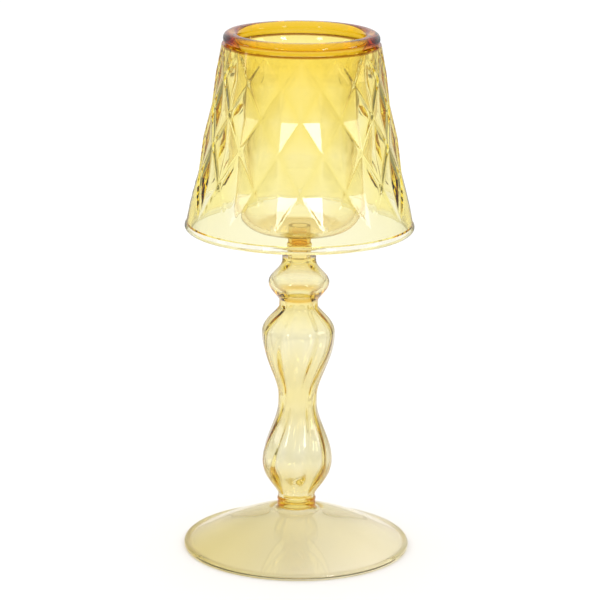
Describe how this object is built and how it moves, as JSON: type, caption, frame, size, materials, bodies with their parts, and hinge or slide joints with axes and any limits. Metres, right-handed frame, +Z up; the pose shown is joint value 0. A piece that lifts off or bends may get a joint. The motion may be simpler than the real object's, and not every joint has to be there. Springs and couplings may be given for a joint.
{
  "type": "tealight holder",
  "caption": "Amber blown-glass tealight holder shaped like a small table lamp: faceted flared shade over a hung candle cup, hollow two-bulb stem and domed round foot.",
  "frame": {"origin": "centre of the foot's underside, on the table", "axes": "+Z up along the stem, -Y towards the side seen from the front, +X to the right"},
  "size_m": [0.0866, 0.0866, 0.2],
  "materials": {
    "thick_amber_glass": "polished thick amber glass",
    "amber_shade_glass": "polished amber glass",
    "pale_stem_glass": "polished pale amber glass with faint twisted ribs",
    "pale_foot_glass": "polished pale amber glass with a faint lustre"
  },
  "bodies": {
    "root": {"rim_ring": "thick_amber_glass", "shade": "amber_shade_glass", "shade_hem": "amber_shade_glass", "candle_cup": "amber_shade_glass", "cup_post": "amber_shade_glass", "post_rings": "thick_amber_glass", "stem_knop": "pale_stem_glass", "upper_bulb": "pale_stem_glass", "lower_bulb": "pale_stem_glass", "foot_collar": "thick_amber_glass", "foot_dish": "pale_foot_glass", "foot_edge": "pale_foot_glass"}
  },
  "joints": []
}
